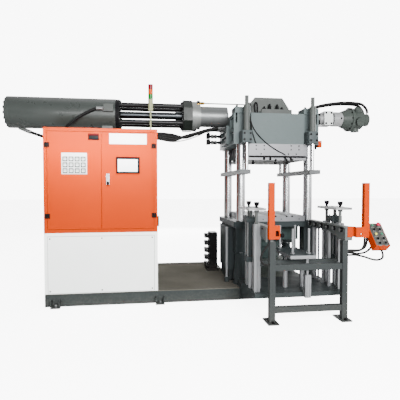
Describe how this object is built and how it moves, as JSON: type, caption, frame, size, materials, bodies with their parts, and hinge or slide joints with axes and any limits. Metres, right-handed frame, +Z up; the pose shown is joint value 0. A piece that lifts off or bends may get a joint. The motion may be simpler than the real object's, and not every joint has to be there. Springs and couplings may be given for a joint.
{
  "type": "rubber injection molding machine",
  "caption": "Rubber injection molding machine: orange control cabinet on a bed, column press with overhead injection unit, and a mould slide-out station in front.",
  "frame": {"origin": "on the floor, under the vertical axis of the four-column press", "axes": "+X along the bed from the cabinet to the press, +Y from the operator side to the back, +Z up"},
  "size_m": [4.722, 2.7562, 2.537],
  "materials": {
    "orange_paint": "semi-gloss",
    "white_paint": "semi-gloss",
    "grey_paint": "semi-gloss",
    "dark_paint": "satin",
    "pale_steel": "ground",
    "chrome": "polished",
    "black_steel": "satin",
    "black_plastic": "matt",
    "tower_plastic": "gloss",
    "hose_rubber": "matt"
  },
  "bodies": {
    "machine": {"base_bed": "grey_paint", "deck_plate": "dark_paint", "press_base": "dark_paint", "station_shelf": "dark_paint", "power_unit_housing": "white_paint", "power_unit_panel": "white_paint", "control_cabinet": "orange_paint", "mounting_plate": "pale_steel", "cabinet_hinges": "black_steel", "signal_tower": "tower_plastic", "columns": "chrome", "column_feet": "dark_paint", "upper_beam": "grey_paint", "crown_box": "grey_paint", "upper_heating_plate": "pale_steel", "upper_mould_plate": "pale_steel", "lift_cylinders": "grey_paint", "main_cylinder": "grey_paint", "injection_cylinder": "dark_paint", "cylinder_end_cap": "dark_paint", "cylinder_flange": "black_steel", "injection_tie_rods": "black_steel", "barrel_head": "grey_paint", "injection_barrel": "pale_steel", "injection_bracket": "grey_paint", "pipe_fittings": "black_steel", "oil_pipe": "pale_steel", "injection_support": "grey_paint", "port_blocks": "pale_steel", "feed_barrel": "pale_steel", "feed_motor": "grey_paint", "valve_manifold": "dark_paint", "station_frame": "grey_paint", "roller_rails": "grey_paint", "rollers": "chrome", "ejector_guides": "pale_steel", "ejector_cylinders": "dark_paint", "table_cylinder": "pale_steel", "curtain_posts": "orange_paint", "operator_box": "orange_paint", "operator_buttons": "black_plastic", "hose_bundle": "hose_rubber", "cylinder_hoses": "hose_rubber", "feed_hoses": "hose_rubber", "control_cables": "hose_rubber"},
    "left_door": {"left_door": "orange_paint", "left_door_hinges": "black_steel", "temperature_panel": "white_paint"},
    "right_door": {"right_door": "orange_paint", "right_door_hinges": "black_steel", "touch_screen": "black_plastic", "door_handle": "chrome"},
    "plunger": {"injection_plunger": "chrome"},
    "platen": {"moving_platen": "grey_paint", "lower_heating_plate": "pale_steel", "main_ram": "grey_paint"},
    "middle_lift": {"lift_bars": "pale_steel"},
    "ejector": {"ejector_bars": "pale_steel"},
    "table": {"centre_table": "pale_steel"}
  },
  "joints": [
    {"name": "left_door_hinge", "type": "hinge", "parent": "machine", "child": "left_door", "pos_m": [-2.674, -0.604, 1.4], "axis": [0, 0, -1], "range_deg": [0, 110]},
    {"name": "right_door_hinge", "type": "hinge", "parent": "machine", "child": "right_door", "pos_m": [-1.504, -0.604, 1.4], "axis": [0, 0, 1], "range_deg": [0, 110]},
    {"name": "plunger_slide", "type": "slide", "parent": "machine", "child": "plunger", "axis": [-1, 0, 0], "range_m": [0, 0.55]},
    {"name": "platen_slide", "type": "slide", "parent": "machine", "child": "platen", "axis": [0, 0, 1], "range_m": [0, 0.45]},
    {"name": "middle_lift_slide", "type": "slide", "parent": "machine", "child": "middle_lift", "axis": [0, 0, 1], "range_m": [-0.3, 0.04]},
    {"name": "ejector_slide", "type": "slide", "parent": "machine", "child": "ejector", "axis": [0, 0, 1], "range_m": [0, 0.25]},
    {"name": "table_slide", "type": "slide", "parent": "machine", "child": "table", "axis": [0, 0, 1], "range_m": [0, 0.16]}
  ]
}
